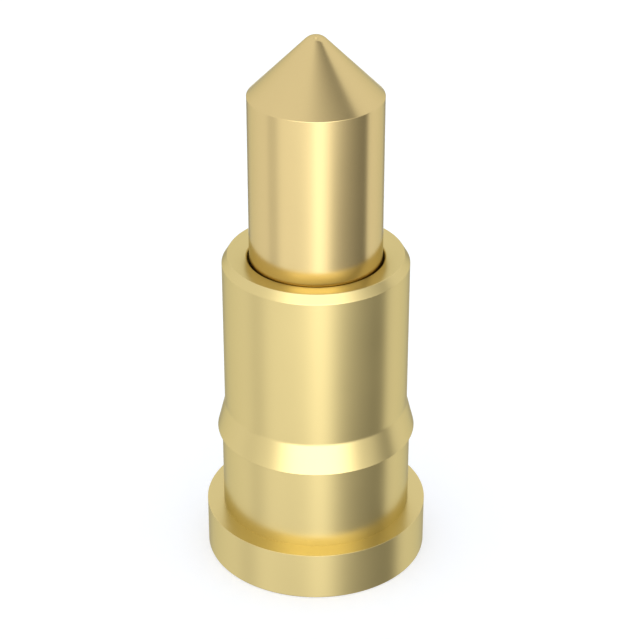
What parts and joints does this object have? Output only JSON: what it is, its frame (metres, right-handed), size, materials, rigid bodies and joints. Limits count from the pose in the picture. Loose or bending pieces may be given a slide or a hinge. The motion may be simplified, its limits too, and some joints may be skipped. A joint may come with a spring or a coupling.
{
  "type": "pogo pin",
  "caption": "Spring-loaded contact pin: a flanged, barbed round barrel with a pointed plunger that slides down into it against a spring.",
  "frame": {"origin": "middle of the flange's underside, the face that is soldered down", "axes": "+Z along the pin, from the flange to the plunger's tip; X and Y are free, because the pin is round"},
  "size_m": [0.0018, 0.0018, 0.0045],
  "materials": {
    "barrel_plating": "gold plated turned brass, satin gloss",
    "plunger_plating": "gold plated turned brass, satin gloss",
    "spring_wire": "gold plated beryllium copper wire, drawn and smooth"
  },
  "bodies": {
    "barrel": {"barrel": "barrel_plating", "spring": "spring_wire"},
    "plunger": {"plunger": "plunger_plating"}
  },
  "joints": [
    {"name": "plunger_slide", "type": "slide", "parent": "barrel", "child": "plunger", "axis": [0, 0, -1], "range_m": [0, 0.00114], "stiffness_N_per_m": 190, "deforming": ["spring"]}
  ]
}
